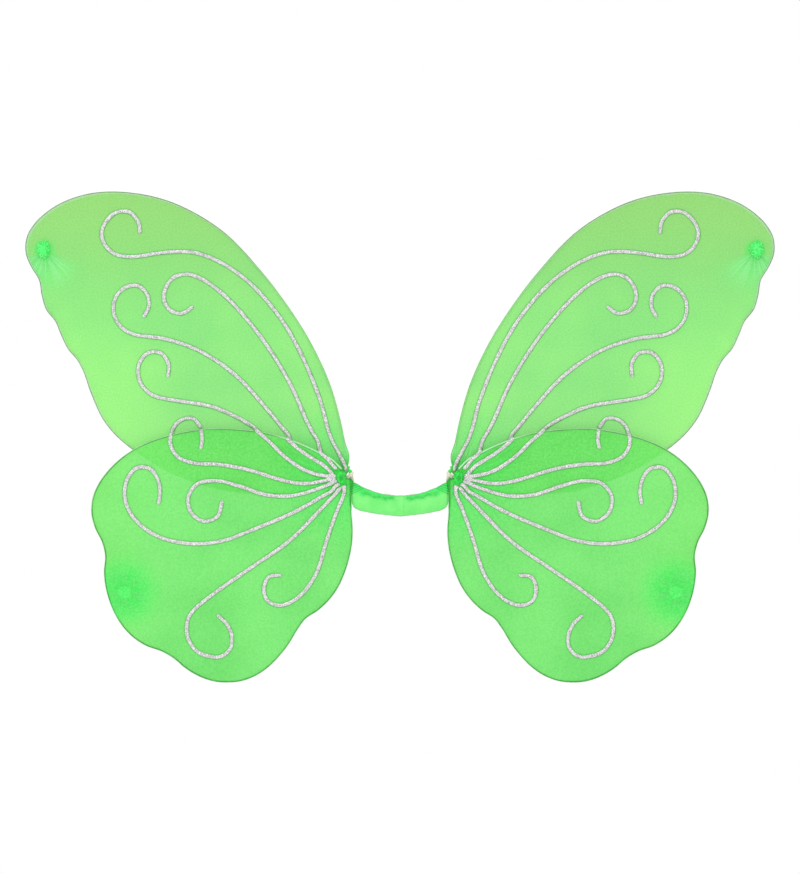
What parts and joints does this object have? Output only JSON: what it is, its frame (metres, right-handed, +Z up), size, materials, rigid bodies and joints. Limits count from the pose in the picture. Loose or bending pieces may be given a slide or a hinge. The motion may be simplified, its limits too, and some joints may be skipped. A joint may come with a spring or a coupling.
{
  "type": "fairy wings",
  "caption": "Costume wings: four wire loops under stretched green nylon with glitter scrolls, lashed in pairs to a padded back band with elastic arm loops.",
  "frame": {"origin": "middle of the padded band's flat rear face, which lies on the wearer's back between the shoulder blades", "axes": "+X to the right of someone looking at the decorated front, along the span; +Y out of the rear face, towards the wearer; +Z up"},
  "size_m": [0.6978, 0.033, 0.4571],
  "materials": {
    "nylon": "sheer knitted nylon, taut, slight sheen",
    "gathered_nylon": "gathered sheer nylon, many layers",
    "band_cloth": "knitted nylon over wadding",
    "wadding": "white polyester wadding",
    "steel_wire": "dark drawn steel wire",
    "glitter": "clear glue full of silver and iridescent glitter",
    "thread": "waxed green thread",
    "elastic": "braided off-white elastic cord",
    "tie": "white paper tie"
  },
  "bodies": {
    "band": {"band_sleeve": "band_cloth", "band_padding": "wadding", "bridge_wire": "steel_wire", "left_elastic_wrap": "elastic", "left_elastic_lead_out": "elastic", "left_elastic_lead_back": "elastic", "left_elastic_hank": "elastic", "left_hank_tie": "tie", "right_elastic_wrap": "elastic", "right_elastic_lead_out": "elastic", "right_elastic_lead_back": "elastic", "right_elastic_hank": "elastic", "right_hank_tie": "tie"},
    "left_root": {"left_root_lashing": "thread"},
    "left_upper_wing": {"left_upper_wire": "steel_wire", "left_upper_nylon": "nylon", "left_upper_root_thread": "thread", "left_upper_tip_tuft": "gathered_nylon", "left_upper_tip_thread": "thread", "left_upper_glitter_1": "glitter", "left_upper_glitter_2": "glitter", "left_upper_glitter_3": "glitter", "left_upper_glitter_4": "glitter", "left_upper_glitter_5": "glitter"},
    "left_lower_wing": {"left_lower_wire": "steel_wire", "left_lower_nylon": "nylon", "left_lower_root_thread": "thread", "left_lower_tip_tuft": "gathered_nylon", "left_lower_tip_thread": "thread", "left_lower_glitter_2": "glitter", "left_lower_glitter_6": "glitter", "left_lower_glitter_8": "glitter", "left_lower_glitter_9": "glitter", "left_lower_glitter_10": "glitter", "left_lower_glitter_fan": "glitter"},
    "right_root": {"right_root_lashing": "thread"},
    "right_upper_wing": {"right_upper_wire": "steel_wire", "right_upper_nylon": "nylon", "right_upper_root_thread": "thread", "right_upper_tip_tuft": "gathered_nylon", "right_upper_tip_thread": "thread", "right_upper_glitter_1": "glitter", "right_upper_glitter_2": "glitter", "right_upper_glitter_3": "glitter", "right_upper_glitter_4": "glitter", "right_upper_glitter_5": "glitter"},
    "right_lower_wing": {"right_lower_wire": "steel_wire", "right_lower_nylon": "nylon", "right_lower_root_thread": "thread", "right_lower_tip_tuft": "gathered_nylon", "right_lower_tip_thread": "thread", "right_lower_glitter_2": "glitter", "right_lower_glitter_6": "glitter", "right_lower_glitter_8": "glitter", "right_lower_glitter_9": "glitter", "right_lower_glitter_10": "glitter", "right_lower_glitter_fan": "glitter"}
  },
  "joints": [
    {"name": "left_fold", "type": "hinge", "parent": "band", "child": "left_root", "pos_m": [-0.0465, -0.007, 0.0285], "axis": [0, 0, 1], "range_deg": [-10, 60]},
    {"name": "left_upper_swing", "type": "hinge", "parent": "left_root", "child": "left_upper_wing", "pos_m": [-0.0545, -0.0025, 0.0263], "axis": [0, -1, 0], "range_deg": [-6, 10]},
    {"name": "left_lower_swing", "type": "hinge", "parent": "left_root", "child": "left_lower_wing", "pos_m": [-0.0545, -0.0115, 0.0263], "axis": [0, -1, 0], "range_deg": [-10, 3]},
    {"name": "right_fold", "type": "hinge", "parent": "band", "child": "right_root", "pos_m": [0.0465, -0.007, 0.0285], "axis": [0, 0, -1], "range_deg": [-10, 60]},
    {"name": "right_upper_swing", "type": "hinge", "parent": "right_root", "child": "right_upper_wing", "pos_m": [0.0545, -0.0025, 0.0263], "axis": [0, 1, 0], "range_deg": [-6, 10]},
    {"name": "right_lower_swing", "type": "hinge", "parent": "right_root", "child": "right_lower_wing", "pos_m": [0.0545, -0.0115, 0.0263], "axis": [0, 1, 0], "range_deg": [-10, 3]}
  ]
}
